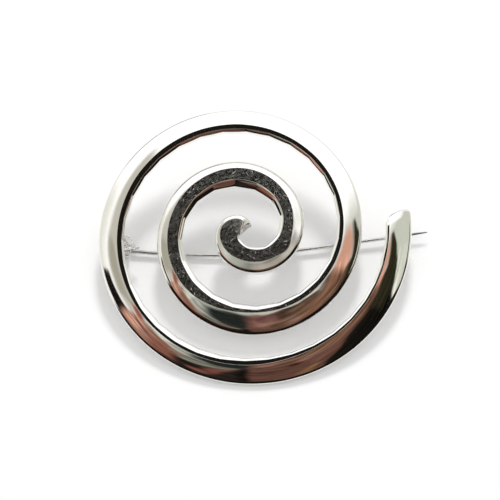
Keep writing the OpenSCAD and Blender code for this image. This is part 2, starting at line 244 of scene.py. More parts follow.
def across(t, q):
    """A point q across the band from its centre line."""
    if t >= CURL_FROM:
        return spiral_at(t) + q * outward(t)
    curl_r = sizes().curl_radius / MM
    out = outward(CURL_FROM)
    centre = spiral_at(CURL_FROM) - curl_r * out
    a = math.atan2(out.y, out.x) - math.radians(CURL_FROM - t)
    drawn_in = CURL_TIGHTEN * ((CURL_FROM - t) / (CURL_FROM - FIRST_ANGLE)) ** 2
    return centre + (curl_r - drawn_in + q) * Vector((math.cos(a), math.sin(a)))


def ended(t, f):
    """The angle that the part f of the way across really reaches, which shapes the two ends."""
    if t < CURL_FROM:
        end = CURL_END_IN - (CURL_END_IN - CURL_END_OUT) * f
        return CURL_FROM - (CURL_FROM - t) * (CURL_FROM - end) / (CURL_FROM - FIRST_ANGLE)
    if t <= TAIL_FROM:
        return t
    if f < TAIL_TOP_AT:
        end = TAIL_END_IN + (TAIL_END_TOP - TAIL_END_IN) * math.sqrt(1 - (1 - f / TAIL_TOP_AT) ** 2)
    else:
        end = TAIL_END_TOP - TAIL_CORNER * ((f - TAIL_TOP_AT) / (1 - TAIL_TOP_AT)) ** 2
    return TAIL_FROM + (t - TAIL_FROM) * (end - TAIL_FROM) / (LAST_ANGLE - TAIL_FROM)


def corner_angle(k):
    """The angle at which the filed flat with this number starts."""
    s = sizes()
    pitch, flat = s.pitch / MM, s.flat_length / MM
    return math.degrees(s.even_start) + 360 / pitch * math.sqrt(k * flat * pitch / math.pi)


def flat_cut(t):
    """How far a filed flat stands out or in at the inner edge, for the flat that holds this angle."""
    s = sizes()
    pitch, flat = s.pitch / MM, s.flat_length / MM
    k = math.floor(math.pi * even_radius(t) ** 2 / pitch / flat)
    if k < 1 or t > corner_angle(k + 1) or t > FLATS_TO:
        return 0.0
    a, b = corner_angle(k), corner_angle(k + 1)
    u = (t - a) / (b - a)
    r = even_radius(t) - section(WIDTH, t) / 2
    return min(flat * flat / (8 * max(r, NEAREST_FLAT)), FLAT_CUT_MAX) * (4 * u * (1 - u) - FLAT_MIDDLE)


# Mesh helpers

ROUND_SHARE = 0.45       # the most of each side that a rounding uses
NORMAL_WEIGHT = 50
SOFT_FROM = 30           # edges sharper than this many degrees are rounded
SOFT_STEPS, SOFT_PROFILE = 2, 0.6


def lay_down():
    """From the brooch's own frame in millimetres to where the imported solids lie, in metres."""
    joint = frame["joints"][0]
    up = Vector(joint["axis"]).normalized()
    right = Vector((1, 0, 0))
    front = right.cross(up)
    turn = Matrix((right, up, front)).transposed().to_4x4()
    return (Matrix.Translation(Vector(joint["pos_m"])) @ turn @ Matrix.Scale(MM, 4)
            @ Matrix.Translation(-Vector(PIVOT)))


def make_piece(name, bm, materials, body, replaced=()):
    """Lays a bmesh down as a piece that rides on a body."""
    bmesh.ops.recalc_face_normals(bm, faces=bm.faces)
    for f in bm.faces:
        f.smooth = True
    mesh = bpy.data.meshes.new(name)
    bm.to_mesh(mesh)
    bm.free()
    mesh.transform(lay_down())
    for m in materials:
        mesh.materials.append(m)
    piece = bpy.data.objects.new(name, mesh)
    bpy.context.scene.collection.objects.link(piece)
    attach(piece, body)
    if replaced:
        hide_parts(*replaced)
    weight_normals(piece)


def weight_normals(piece):
    """Shades flat faces flat and leaves the rounding to the narrow faces along the edges."""
    mod = piece.modifiers.new("Even shading", "WEIGHTED_NORMAL")
    mod.weight = NORMAL_WEIGHT
    mod.keep_sharp = False
    graph = bpy.context.evaluated_depsgraph_get()
    mesh = bpy.data.meshes.new_from_object(piece.evaluated_get(graph), preserve_all_data_layers=True,
                                           depsgraph=graph)
    old = piece.data
    piece.modifiers.clear()
    piece.data = mesh
    mesh.name = old.name
    bpy.data.meshes.remove(old)


def turns(first, last, steps):
    """Angles from first to last in even steps, with both ends."""
    return [first + (last - first) * i / steps for i in range(steps + 1)]


def circle(sides):
    return [2 * math.pi * i / sides for i in range(sides)]


def skin(bm, rings):
    """Joins rings of points by faces, and gives the faces back. A ring may be a single point."""
    faces = []
    for a, b in zip(rings, rings[1:]):
        n = max(len(a), len(b))
        for i in range(n):
            j = (i + 1) % n
            around = (a[i % len(a)], a[j % len(a)], b[j % len(b)], b[i % len(b)])
            faces.append(bm.faces.new(list(dict.fromkeys(around))))
    return faces


def bend(start, corner, end, steps):
    """A curve from start to end that heads for the corner at both, as steps + 1 points."""
    return [start * (1 - u) ** 2 + corner * 2 * u * (1 - u) + end * u * u
            for u in (i / steps for i in range(steps + 1))]


def rounded(a, b, c, radius, steps):
    """The corner b between a and c, rounded from radius before it to radius after it."""
    b = Vector(b)
    to_a, to_c = Vector(a) - b, Vector(c) - b
    start = b + to_a.normalized() * min(radius, to_a.length * ROUND_SHARE)
    end = b + to_c.normalized() * min(radius, to_c.length * ROUND_SHARE)
    return bend(start, b, end, steps)


def between(a, b, shares):
    a, b = Vector(a), Vector(b)
    return [a.lerp(b, s) for s in shares]


def swept(bm, outline, a, b, place):
    """Closes an outline swept from depth a to depth b, with place(x, y, depth) giving each point."""
    lower, upper = [[bm.verts.new(place(x, y, depth)) for x, y in outline] for depth in (a, b)]
    skin(bm, [lower, upper])
    bm.faces.new(list(reversed(lower)))
    bm.faces.new(upper)


def revolved(bm, profile, sides, place, closed=False):
    """Turns a profile of (radius, depth) about an axis, with place(x, y, depth) giving each point."""
    rings = []
    for r, depth in profile:
        angles = circle(sides if r > 0 else 1)
        rings.append([bm.verts.new(place(r * math.cos(a), r * math.sin(a), depth)) for a in angles])
    skin(bm, rings + rings[:1] if closed else rings)


def soften(bm, offset):
    """Rounds the sharp edges. Their angles are known only once the faces' normals are worked out."""
    bmesh.ops.recalc_face_normals(bm, faces=bm.faces)
    edges = [e for e in bm.edges if len(e.link_faces) == 2 and e.calc_face_angle(0) > math.radians(SOFT_FROM)]
    bmesh.ops.bevel(bm, geom=edges, offset=offset, segments=SOFT_STEPS, profile=SOFT_PROFILE, affect="EDGES",
                    clamp_overlap=True)


# The band

SLOPE_STEPS = 20
ROLL_STEPS = 9
ROLL_FALL = 1.25         # how far the rim's rounding falls, for each millimetre of its width
ROLL_LOWEST = 0.2        # how low it may reach
ROLL_SHARE = 0.25        # the most of the slope that it takes
PROBE = 0.01             # share of the slope over which its steepness is read
STATION_STEP = 0.28      # millimetres between stations
STATIONS_LEAST = 3       # the fewest steps along one filed flat
REACH_STEP = 0.2         # degrees either side, for the way along the band at its ends
BACK_LEVEL = 0.004       # how near the back a point is laid level with it

# How the edges of the section are rounded, in millimetres and in steps
FOOT_IN_ROUND, FOOT_IN_STEPS = 0.08, 3
FOOT_OUT_ROUND, FOOT_OUT_STEPS = 0.45, 5
BROW_ROUND, BROW_STEPS = 0.05, 3
CREST_STEPS = 2
CREST_TO, BROW_AT = 0.2, 0.9    # places along the shoulder that its two roundings head for
SHOULDER_FROM, SHOULDER_STEPS = 0.12, 7

# Where points lie along the straight parts of the section
BACK_SHARES = (0.02, 0.25, 0.5, 0.75, 0.98)
WALL_SHARES = (0.1, 0.5, 0.9)
TOP_SHARES = (0.0, 0.06, 0.3, 0.55, 0.8, 0.95)

# The facet's outer edge wanders: how far, how finely along the band, and which layer of the noise gives it
RAG_INNER = (0.05, 0.9, 3.1)     # on the inner turns
RAG_ALL = (0.02, 0.35, 9.1)      # everywhere
RAG_FADES = (560, 700)   # angles between which the inner turns' share fades
RAG_ROOM = 0.08          # width of the slope's first strip, in which the edge wanders

# Angles between which the facet's wear and the curl's rubbing fade
WORN_FADES = (600, 760)
CURL_FADES = (100, 420)

BACK, WALL, SLOPE, TOP, SHOULDER = range(5)

# How far the hand-worked surface stands off its even shape: long streaks and dents, for each zone
HAMMERED = {BACK: (0.0, 0.0), WALL: (0.006, 0.006), SLOPE: (0.012, 0.006), TOP: (0.003, 0.003),
            SHOULDER: (0.006, 0.006)}
# How fine each is along the band and round it, and which layer of the noise gives it
STREAKS, DENTS = (0.07, 0.9, 1.7), (0.3, 0.5, 7.3)


def wander(t, size, fine, layer):
    return size * noise.noise(Vector((t * fine, layer, 0)))


def ring(t):
    """The band's section as (point, zone), anticlockwise from the inner edge of the back.

    A point is how far across the band it lies from the centre line, and how far above the back.
    """
    cut = flat_cut(t)
    half = section(WIDTH, t) / 2
    thick, bevel, rim = section(THICK, t), section(BEVEL, t), section(RIM, t)
    even, power = section(EVEN, t), section(POWER, t)
    rag = (1 - smooth_step(*RAG_FADES, t)) * wander(t, *RAG_INNER) + wander(t, *RAG_ALL)
    facet_out = -half + bevel + section(FACET, t)
    span = half - facet_out
    in_foot, out_foot = (-half - cut, 0), (half, 0)
    facet_in = (-half + bevel - FLAT_ON_FACET * cut, thick)
    wall_top = (-half - cut, thick - BEVEL_FALL * bevel)

    def slope_at(x):
        return Vector((facet_out + span * x, thick - (thick - rim) * (even * x + (1 - even) * x ** power)))

    def shoulder_at(u):
        fall = BEVEL_START * u + (1 - BEVEL_START) * u ** BEVEL_POWER
        return Vector((facet_in[0] + (wall_top[0] - facet_in[0]) * u, thick + (wall_top[1] - thick) * fall))

    foot_in = rounded(wall_top, in_foot, out_foot, FOOT_IN_ROUND, FOOT_IN_STEPS)
    foot_out = rounded(in_foot, out_foot, (half, rim), FOOT_OUT_ROUND, FOOT_OUT_STEPS)
    roll = min(section(ROLL, t), span * ROLL_SHARE)
    run_to = 1 - 2 * roll / span
    roll_start = slope_at(run_to)
    ahead = slope_at(run_to) - slope_at(run_to - PROBE)
    corner = roll_start + ahead * (roll / ahead.x)
    roll_end = Vector((half, max(corner.y - ROLL_FALL * roll, ROLL_LOWEST)))
    rim_round = bend(roll_end, corner, roll_start, ROLL_STEPS)
    slope_from = min(RAG_ROOM / span, run_to / 2)
    slope = [slope_at(run_to + (slope_from - run_to) * i / SLOPE_STEPS) for i in range(SLOPE_STEPS + 1)]
    edge = sizes().edge_radius / MM
    crest = rounded((facet_out, thick), facet_in, shoulder_at(CREST_TO), edge, CREST_STEPS)
    brow = rounded(shoulder_at(BROW_AT), wall_top, in_foot, BROW_ROUND, BROW_STEPS)
    brow_from = (brow[0].x - facet_in[0]) / (wall_top[0] - facet_in[0])
    shoulder = [shoulder_at(brow_from * (SHOULDER_FROM + (1 - SHOULDER_FROM) * i / SHOULDER_STEPS))
                for i in range(SHOULDER_STEPS)]
    runs = [
        (foot_in[1:] + between(foot_in[-1], foot_out[0], BACK_SHARES) + foot_out, BACK),
        (between(foot_out[-1], rim_round[0], WALL_SHARES) + rim_round[:-1], WALL),
        (slope, SLOPE),
        (between((facet_out + rag, thick), crest[0], TOP_SHARES), TOP),
        (crest + shoulder + brow, SHOULDER),
        (between(brow[-1], foot_in[0], WALL_SHARES) + foot_in[:1], WALL),
    ]
    return [(p, zone) for points, zone in runs for p in points]


def hammer(along, around, zone):
    """How far the hand-worked surface stands off its even shape, in millimetres."""
    return sum(size * noise.noise(Vector((along * fine_along, around * fine_around, layer)))
               for size, (fine_along, fine_around, layer) in zip(HAMMERED[zone], (STREAKS, DENTS)))


def stations():
    """Angles along the band at nearly equal lengths, with the corners of the filed flats among them."""
    marks = [FIRST_ANGLE]
    while corner_angle(len(marks)) < FLATS_TO:
        marks.append(corner_angle(len(marks)))
    marks.append(LAST_ANGLE)
    out = []
    for a, b in zip(marks, marks[1:]):
        steps = max(STATIONS_LEAST, math.ceil((across(b, 0) - across(a, 0)).length / STATION_STEP))
        out += [a + (b - a) * i / steps for i in range(steps)]
    return out + [LAST_ANGLE]


def section_normals(points):
    """The way out of the section at each of its points."""
    out = []
    for before, after in zip(points[-1:] + points[:-1], points[1:] + points[:1]):
        d = after - before
        out.append(Vector((d.y, -d.x)).normalized())
    return out


def band_rings(bm):
    """The band's rings of points from the curl to the tail.

    The attribute place holds how far along the band, round its section and across it a point lies, in
    millimetres. The attribute zone holds 1 on the facet, the share of wear on this stretch of the band, and
    the share of the curl's rubbing.
    """
    place_layer = bm.verts.layers.float_vector.new("place")
    zone_layer = bm.verts.layers.float_vector.new("zone")

    def add_ring(t, along, inset=0.0, reach=0.0):
        zoned = ring(t)
        points = [p for p, zone in zoned]
        half = section(WIDTH, t) / 2
        fades = [1 - smooth_step(*limits, t) for limits in (WORN_FADES, CURL_FADES)]
        around, row = 0.0, []
        for (p, zone), n, after in zip(zoned, section_normals(points), points[1:] + points[:1]):
            q = p + n * (hammer(along, around, zone) - inset)
            if zone == BACK and abs(q.y) < BACK_LEVEL:
                q.y = max(q.y, 0.0)
            at = ended(t, min(max((p.x + half) / (2 * half), 0.0), 1.0))
            xy = across(at, q.x)
            if reach:
                ahead = across(at + REACH_STEP, q.x) - across(at - REACH_STEP, q.x)
                xy = xy + ahead.normalized() * reach
            v = bm.verts.new((xy.x, xy.y, q.y))
            v[place_layer] = (along, around, p.x)
            v[zone_layer] = (float(zone == TOP), *fades)
            row.append(v)
            around += (after - p).length
        return row

    groove = [(GROOVE * (1 - math.cos(a)), GROOVE * (1 - math.sin(a)))
              for a in map(math.radians, GROOVE_TURNS)]
    rings = [add_ring(FIRST_ANGLE, 0.0, inset, reach) for inset, reach in groove]
    along, last = 0.0, None
    for t in stations():
        middle = across(ended(t, 0.5), 0)
        if last is not None:
            along += (middle - last).length
        last = middle
        rings.append(add_ring(t, along))
    return rings + [add_ring(LAST_ANGLE, along, inset, -reach) for inset, reach in reversed(groove)]


class BROOCH_OT_band(Operator):
    """Builds the wound silver band with its facet, bevel, filed flats and rounded slope"""
    bl_idname = "brooch.band"
    bl_label = "Build band"

    def execute(self, context):
        spiral_at.cache_clear()
        outward.cache_clear()
        bm = bmesh.new()
        rings = band_rings(bm)
        zones = [zone for p, zone in ring(FIRST_ANGLE)]
        satin = [a == BACK and b == BACK for a, b in zip(zones, zones[1:] + zones[:1])]
        for i, face in enumerate(skin(bm, rings)):
            face.material_index = int(satin[i % len(satin)])
        bm.faces.new(list(reversed(rings[0])))
        bm.faces.new(rings[-1])
        make_piece("wound_band", bm, [polished_silver(), satin_silver()], "brooch", ["spiral_band"])
        return {"FINISHED"}


# Fittings on the back

def ear_mesh(bm, y0, y1):
    """One ear: a round-ended tongue with the rivet's bore, flared where it is soldered to the plate."""
    foot = -PLATE_T - PIVOT[2]
    outline = [(EAR_R * math.cos(a), EAR_R * math.sin(a)) for a in turns(math.pi, 2 * math.pi, EAR_STEPS)]
    flare = [(EAR_R + FLARE_R * (1 - math.cos(a)), foot - FLARE_R + FLARE_R * math.sin(a))
             for a in turns(0, math.radians(FLARE_TURN), FLARE_STEPS)]
    outline += flare + [(x, foot + EAR_SINK) for x in (EAR_R + FLARE_R, 0, -EAR_R - FLARE_R)]
    outline += [(-x, z) for x, z in reversed(flare)]
    bore = [Vector(p).normalized() * (RIVET_R + BORE_GAP) for p in outline]
    (o0, i0), (o1, i1) = [[[bm.verts.new(on_pivot(x, z, y)) for x, z in loop] for loop in (outline, bore)]
                          for y in (y0, y1)]
    n = len(outline)
    for k in range(n):
        m = (k + 1) % n
        bm.faces.new((o0[k], o0[m], i0[m], i0[k]))
        bm.faces.new((o1[m], o1[k], i1[k], i1[m]))
        bm.faces.new((o0[m], o0[k], o1[k], o1[m]))
        bm.faces.new((i0[k], i0[m], i1[m], i1[k]))


def on_pivot(x, z, y):
    return (PIVOT[0] + x, y, PIVOT[2] + z)


class BROOCH_OT_bracket(Operator):
    """Builds the hinge bracket: the soldered base plate with its tab and the two ears"""
    bl_idname = "brooch.bracket"
    bl_label = "Build hinge bracket"

    def execute(self, context):
        bm = bmesh.new()
        swept(bm, PLATE, -PLATE_T, 0.0, lambda x, y, z: (x, y, z))
        near, far = EAR_GAP / 2, EAR_GAP / 2 + EAR_T
        for y0, y1 in ((PIVOT[1] - far, PIVOT[1] - near), (PIVOT[1] + near, PIVOT[1] + far)):
            ear = bmesh.new()
            ear_mesh(ear, y0, y1)
            soften(ear, EAR_SOFT)
            scratch = bpy.data.meshes.new("ear")
            ear.to_mesh(scratch)
            ear.free()
            bm.from_mesh(scratch)
            bpy.data.meshes.remove(scratch)
        make_piece("hinge_bracket", bm, [soldered_silver()], "brooch")
        return {"FINISHED"}


def on_bow(a):
    """A point of the wire's bow, where it heads in the direction a."""
    start = math.radians(BOW_FROM)
    return Vector((PIVOT[0] + BOW_R * (math.sin(a) - math.sin(start)),
                   WIRE_Y + BOW_R * (math.cos(start) - math.cos(a)), PIVOT[2]))


def table_drop(y):
    """Distance of the table behind the back at the height y up the brooch."""
    m = lay_down()
    origin = m @ Vector((0, y, 0))
    back = m.to_3x3() @ Vector((0, 0, -1))
    return origin.z / -back.z


class BROOCH_OT_catch(Operator):
    """Builds the catch, a soldered post with the slot that the closed pin lies in"""
    bl_idname = "brooch.catch"
    bl_label = "Build catch"

    def execute(self, context):
        turn = math.radians(BOW_TO)
        along = Vector((math.cos(turn), math.sin(turn)))
        side = Vector((-along.y, along.x))
        centre = on_bow(turn).xy + CATCH_ALONG * along
        half, slot_half = SLOT_W / 2 + CHEEK_T, SLOT_W / 2
        foot = table_drop((centre - side * half - along * CATCH_LEN / 2).y)
        slot_floor = -PIVOT[2] - sizes().wire_radius / MM - CATCH_ROOM
        slot = [(slot_half, -foot)]
        slot += [(slot_half * math.cos(a), -slot_floor - SLOT_ROUND + SLOT_ROUND * math.sin(a))
                 for a in turns(0, math.pi, SLOT_STEPS)]
        slot.append((-slot_half, -foot))
        outline = [(half, -foot), (half, SINK), (-half, SINK), (-half, -foot)] + slot[::-1]

        def place(x, z, depth):
            return (*(centre + side * x + along * depth), z)

        bm = bmesh.new()
        swept(bm, outline, -CATCH_LEN / 2, CATCH_LEN / 2, place)
        make_piece("pin_catch", bm, [satin_silver()], "brooch")
        return {"FINISHED"}


class BROOCH_OT_rivet(Operator):
    """Builds the rivet through the ears, with its two hammered heads"""
    bl_idname = "brooch.rivet"
    bl_label = "Build rivet"

    def execute(self, context):
        half = EAR_GAP / 2 + EAR_T + BORE_GAP
        dome = HEAD_T * (1 - HEAD_EDGE)
        head = [(HEAD_R * math.sin(a) ** HEAD_FULL, -half - HEAD_T * HEAD_EDGE - dome * math.cos(a))
                for a in turns(0, math.pi / 2, HEAD_STEPS)]
        head += [(HEAD_R, -half - HEAD_CUT[1]), (HEAD_R - HEAD_CUT[0], -half), (RIVET_R, -half)]
        profile = head + [(r, -d) for r, d in reversed(head)]
        bm = bmesh.new()
        revolved(bm, [(r, PIVOT[1] + d) for r, d in profile], RIVET_SIDES, on_pivot)
        make_piece("rivet", bm, [rivet_silver()], "brooch", ["hinge_rivet"])
        return {"FINISHED"}


def eye_profile():
    """The pin's eye, as a closed profile of (radius, depth)."""
    half, bore = EAR_GAP / 2 - EYE_ROOM, RIVET_R + EYE_GAP
    side = [(bore + EYE_CUT, -half), (EYE_R - EYE_ROUND, -half)]
    side += [(EYE_R - EYE_ROUND + EYE_ROUND * math.sin(a), -half + EYE_ROUND - EYE_ROUND * math.cos(a))
             for a in turns(0, math.pi / 2, EYE_STEPS)[1:]]
    side.append((EYE_R, -EYE_FLAT))
    return side + [(r, -d) for r, d in reversed(side)] + [(bore, half - EYE_CUT), (bore, -half + EYE_CUT)]


def wire_path(wire_r):
    """The wire's centre line from beside the eye to the tip, as (point, heading, radius)."""
    bow = turns(math.radians(BOW_FROM), math.radians(BOW_TO), BOW_STEPS)
    path = [(on_bow(a), a, wire_r) for a in bow]
    start, heading = path[-1][:2]
    ahead = Vector((math.cos(heading), math.sin(heading), 0))
    for i in range(1, STRAIGHT_STEPS + 1):
        path.append((start + ahead * STRAIGHT_LEN * i / STRAIGHT_STEPS, heading, wire_r))
    for i in range(1, POINT_STEPS + 1):
        u = i / POINT_STEPS
        path.append((start + ahead * (STRAIGHT_LEN + POINT_LEN * u), heading,
                     TIP_R + (wire_r - TIP_R) * (1 - u) ** POINT_POWER))
    return path[SKIPPED_STEPS:]


class BROOCH_OT_pin(Operator):
    """Builds the pin: its eye, the bowed wire and the ground point"""
    bl_idname = "brooch.pin"
    bl_label = "Build pin"

    def execute(self, context):
        bm = bmesh.new()
        revolved(bm, [(r, PIVOT[1] + d) for r, d in eye_profile()], EYE_SIDES, on_pivot, closed=True)
        path = wire_path(sizes().wire_radius / MM)
        rings = []
        for p, heading, r in path:
            gone = (p - path[0][0]).length
            wide = r * (1 + SPREAD * max(0.0, 1 - gone / SPREAD_LEN) ** 2)
            side = Vector((-math.sin(heading), math.cos(heading), 0))
            rings.append([bm.verts.new(p + side * (wide * math.cos(a)) + Vector((0, 0, r * math.sin(a))))
                          for a in circle(WIRE_SIDES)])
        p, heading, r = path[-1]
        ahead = Vector((math.cos(heading), math.sin(heading), 0))
        skin(bm, rings + [[bm.verts.new(p + ahead * TIP_R * TIP_LEN)]])
        bm.faces.new(rings[0])
        make_piece("pin", bm, [pin_steel()], "pin", ["pin_stem"])
        return {"FINISHED"}


# Finishes

def srgb(*values):
    """A colour of 0 to 255 as linear values."""
    out = [v / 255 for v in values]
    return tuple(v / 12.92 if v <= 0.04045 else ((v + 0.055) / 1.055) ** 2.4 for v in out)


def darker(colour, share):
    return tuple(c * share for c in colour)


class Tree:
    """Adds and links nodes in one node tree."""

    def __init__(self, tree):
        self.nodes, self.links = tree.nodes, tree.links

    def node(self, kind, **settings):
        n = self.nodes.new(kind)
        for name, value in settings.items():
            setattr(n, name, value)
        return n

    def feed(self, socket, value):
        """Links a socket to another one, or sets its value."""
        if isinstance(value, bpy.types.NodeSocket):
            self.links.new(value, socket)
        else:
            socket.default_value = value

    def filled(self, kind, values, **settings):
        """A node with its first inputs fed in order."""
        n = self.node(kind, **settings)
        for socket, value in zip(n.inputs, values):
            self.feed(socket, value)
        return n

    def math(self, operation, *values):
        return self.filled("ShaderNodeMath", values, operation=operation).outputs[0]

    def plus(self, a, b):
        return self.math("ADD", a, b)

    def minus(self, a, b):
        return self.math("SUBTRACT", a, b)

    def times(self, a, b):
        return self.math("MULTIPLY", a, b)

    def over(self, a, b):
        return self.math("DIVIDE", a, b)

    def rising(self, mask, low, high):
        """A value from low, where the mask is 0, to high, where it is 1."""
        return self.plus(low, self.times(mask, high - low))

    def scaled(self, vector, scale):
        n = self.node("ShaderNodeVectorMath", operation="SCALE")
        self.feed(n.inputs[0], vector)
        self.feed(n.inputs["Scale"], scale)
        return n.outputs[0]

    def split(self, vector):
        return list(self.filled("ShaderNodeSeparateXYZ", [vector]).outputs)

    def joined(self, *values):
        return self.filled("ShaderNodeCombineXYZ", values).outputs[0]

    def mix(self, factor, a, b):
        """A colour from a, where the factor is 0, to b, where it is 1."""
        n = self.node("ShaderNodeMix", data_type="RGBA")
        self.feed(n.inputs["Factor"], factor)
        for name, value in (("A", a), ("B", b)):
            socket = next(s for s in n.inputs if s.name == name and s.type == "RGBA")
            self.feed(socket, value if isinstance(value, bpy.types.NodeSocket) else (*value, 1.0))
        return next(s for s in n.outputs if s.type == "RGBA")

    def mix_shaders(self, factor, a, b):
        return self.filled("ShaderNodeMixShader", (factor, a, b)).outputs[0]

    def background(self, colour, strength=1.0):
        n = self.node("ShaderNodeBackground")
        self.feed(n.inputs["Color"], colour)
        n.inputs["Strength"].default_value = strength
        return n.outputs[0]

    def ramp(self, value, low, high, to_low=0.0, to_high=1.0, kind="SMOOTHSTEP"):
        n = self.node("ShaderNodeMapRange", interpolation_type=kind, clamp=True)
        limits = {"Value": value, "From Min": low, "From Max": high, "To Min": to_low, "To Max": to_high}
        for name, v in limits.items():
            self.feed(n.inputs[name], v)
        return n.outputs["Result"]

    def noise(self, vector, scale, detail=2.0, roughness=0.5, output="Fac"):
        n = self.node("ShaderNodeTexNoise", noise_dimensions="3D")
        for name, v in {"Vector": vector, "Scale": scale, "Detail": detail, "Roughness": roughness}.items():
            self.feed(n.inputs[name], v)
        return n.outputs[output]

    def group(self, tree, **inputs):
        n = self.node("ShaderNodeGroup", node_tree=tree)
        for name, value in inputs.items():
            self.feed(n.inputs[name.replace("_", " ")], value)
        return n


def new_group(name, inputs, outputs):
    group = bpy.data.node_groups.new(name, "ShaderNodeTree")
    for socket, kind, default in inputs:
        s = group.interface.new_socket(socket, in_out="INPUT", socket_type=kind)
        if default is not None:
            s.default_value = default
    for socket in outputs:
        group.interface.new_socket(socket, in_out="OUTPUT", socket_type="NodeSocketFloat")
    t = Tree(group)
    return group, t, t.node("NodeGroupInput").outputs, t.node("NodeGroupOutput").inputs


SCORED_FROM, SCORED_SPAN = 0.72, 0.08      # value of the noise at which a scratch starts, and how softly
AMOUNT_LOWERS = 0.22     # how far an amount of 1 lowers that
SMALL_SPOTS, LARGE_SPOTS = 4.0, 0.7        # spots to a millimetre, where the size is 1


def scratch_lines():
    """Thin straight scratches in one direction: how deep the metal is scored, and where."""
    name = "scratch lines"
    if name in bpy.data.node_groups:
        return bpy.data.node_groups[name]
    group, t, given, put = new_group(name, [
        ("Place", "NodeSocketVector", None),
        ("Direction", "NodeSocketFloat", 0.0),
        ("Fineness", "NodeSocketFloat", 9.0),
        ("Length", "NodeSocketFloat", 3.0),
        ("Amount", "NodeSocketFloat", 0.5),
    ], ["Depth", "Scored"])
    turn = t.node("ShaderNodeVectorRotate", rotation_type="Z_AXIS")
    t.feed(turn.inputs["Vector"], given["Place"])
    t.feed(turn.inputs["Angle"], given["Direction"])
    x, y = t.split(turn.outputs[0])[:2]
    stretched = t.joined(t.over(x, given["Length"]), t.times(y, given["Fineness"]), given["Direction"])
    n = t.noise(stretched, 1.0, 3.0, 0.6)
    low = t.minus(SCORED_FROM, t.times(given["Amount"], AMOUNT_LOWERS))
    scored = t.ramp(n, low, t.plus(low, SCORED_SPAN))
    t.feed(put["Scored"], scored)
    t.feed(put["Depth"], t.times(scored, -1.0))
    return group


def mottle():
    """Uneven rubbing: a height and a mask in soft spots of two sizes."""
    name = "mottle"
    if name in bpy.data.node_groups:
        return bpy.data.node_groups[name]
    group, t, given, put = new_group(name, [
        ("Place", "NodeSocketVector", None),
        ("Size", "NodeSocketFloat", 1.0),
    ], ["Height", "Rubbed"])
    small = t.noise(given["Place"], t.over(SMALL_SPOTS, given["Size"]), 4.0, 0.65)
    large = t.noise(given["Place"], t.over(LARGE_SPOTS, given["Size"]), 2.0, 0.5)
    t.feed(put["Height"], t.plus(t.times(small, 0.6), t.times(large, 0.4)))
    t.feed(put["Rubbed"], t.ramp(t.plus(t.times(small, 0.5), t.times(large, 0.5)), 0.4, 0.6))
    return group


def new_material(name, metallic):
    m = bpy.data.materials.new(name)
    m.use_nodes = True
    shader = m.node_tree.nodes["Principled BSDF"]
    shader.inputs["Metallic"].default_value = metallic
    return m, Tree(m.node_tree), shader.inputs


def in_millimetres(t):
    """Where a point lies on its own piece, in millimetres."""
    return t.scaled(t.node("ShaderNodeTexCoord").outputs["Object"], 1000.0)


def bumped(t, height, strength, depth):
    """The surface's direction with a height of this depth in millimetres on it."""
    bump = t.node("ShaderNodeBump")
    bump.inputs["Strength"].default_value = strength
    bump.inputs["Distance"].default_value = depth * MM
    t.feed(bump.inputs["Height"], height)
    return bump.outputs["Normal"]


# Marks of the polished silver: on even metal, and on the worn facet
LINE_DEPTH = (0.04, 0.24)        # depth of the scratches along the band
CROSS_DEPTH = (0.02, 0.62)       # depth of the scratches across it
LUMP_DEPTH = 0.8                 # depth of the worn facet's lumps
RUBBED_ROUGH, SCORED_ROUGH = 0.08, 0.25      # what its rubbed spots and its scratches add to the roughness
CURL_ROUGH, CURL_END_ROUGH = 0.06, 0.055     # what the rubbing adds on the curl's slopes and at its end


def polished_silver():
    """Silver with a filed, scratched top facet and bright polished slopes."""
    f = finishes()
    m, t, shader = new_material("polished silver", 1.0)
    place = t.node("ShaderNodeAttribute", attribute_name="place").outputs["Vector"]
    facet, early, curl = t.split(t.node("ShaderNodeAttribute", attribute_name="zone").outputs["Vector"])
    worn = t.times(facet, early)
    spots = t.group(mottle(), Place=place, Size=0.45).outputs
    lengthwise = t.group(scratch_lines(), Place=place, Direction=0.03, Fineness=11.0, Length=2.5, Amount=0.55)
    slanting = t.group(scratch_lines(), Place=place, Direction=0.9, Fineness=4.5, Length=1.6, Amount=0.3)
    crossing = t.group(scratch_lines(), Place=place, Direction=-0.7, Fineness=5.0, Length=1.2, Amount=0.25)

    lines = t.times(lengthwise.outputs["Depth"], t.rising(worn, *LINE_DEPTH))
    crossed = t.plus(slanting.outputs["Depth"], crossing.outputs["Depth"])
    crossed = t.times(crossed, t.rising(worn, *CROSS_DEPTH))
    lumps = t.times(spots["Height"], t.times(worn, LUMP_DEPTH))
    t.feed(shader["Normal"], bumped(t, t.plus(t.plus(lines, crossed), lumps), 1.0, 0.005))

    rough = t.plus(f.slope_roughness, t.times(worn, f.facet_roughness))
    rough = t.plus(rough, t.times(spots["Rubbed"], t.times(worn, RUBBED_ROUGH)))
    scored = t.plus(slanting.outputs["Scored"], crossing.outputs["Scored"])
    rough = t.plus(rough, t.times(scored, t.times(worn, SCORED_ROUGH)))
    rubbed = t.times(t.ramp(curl, 0.02, 0.12), t.rising(facet, CURL_ROUGH, 0.0))
    rubbed = t.plus(rubbed, t.times(t.ramp(curl, 0.8, 1.0), CURL_END_ROUGH))
    t.feed(shader["Roughness"], t.plus(rough, rubbed))
    t.feed(shader["Base Color"], t.mix(t.times(spots["Rubbed"], 0.25), f.silver, darker(f.silver, 0.9)))
    return m


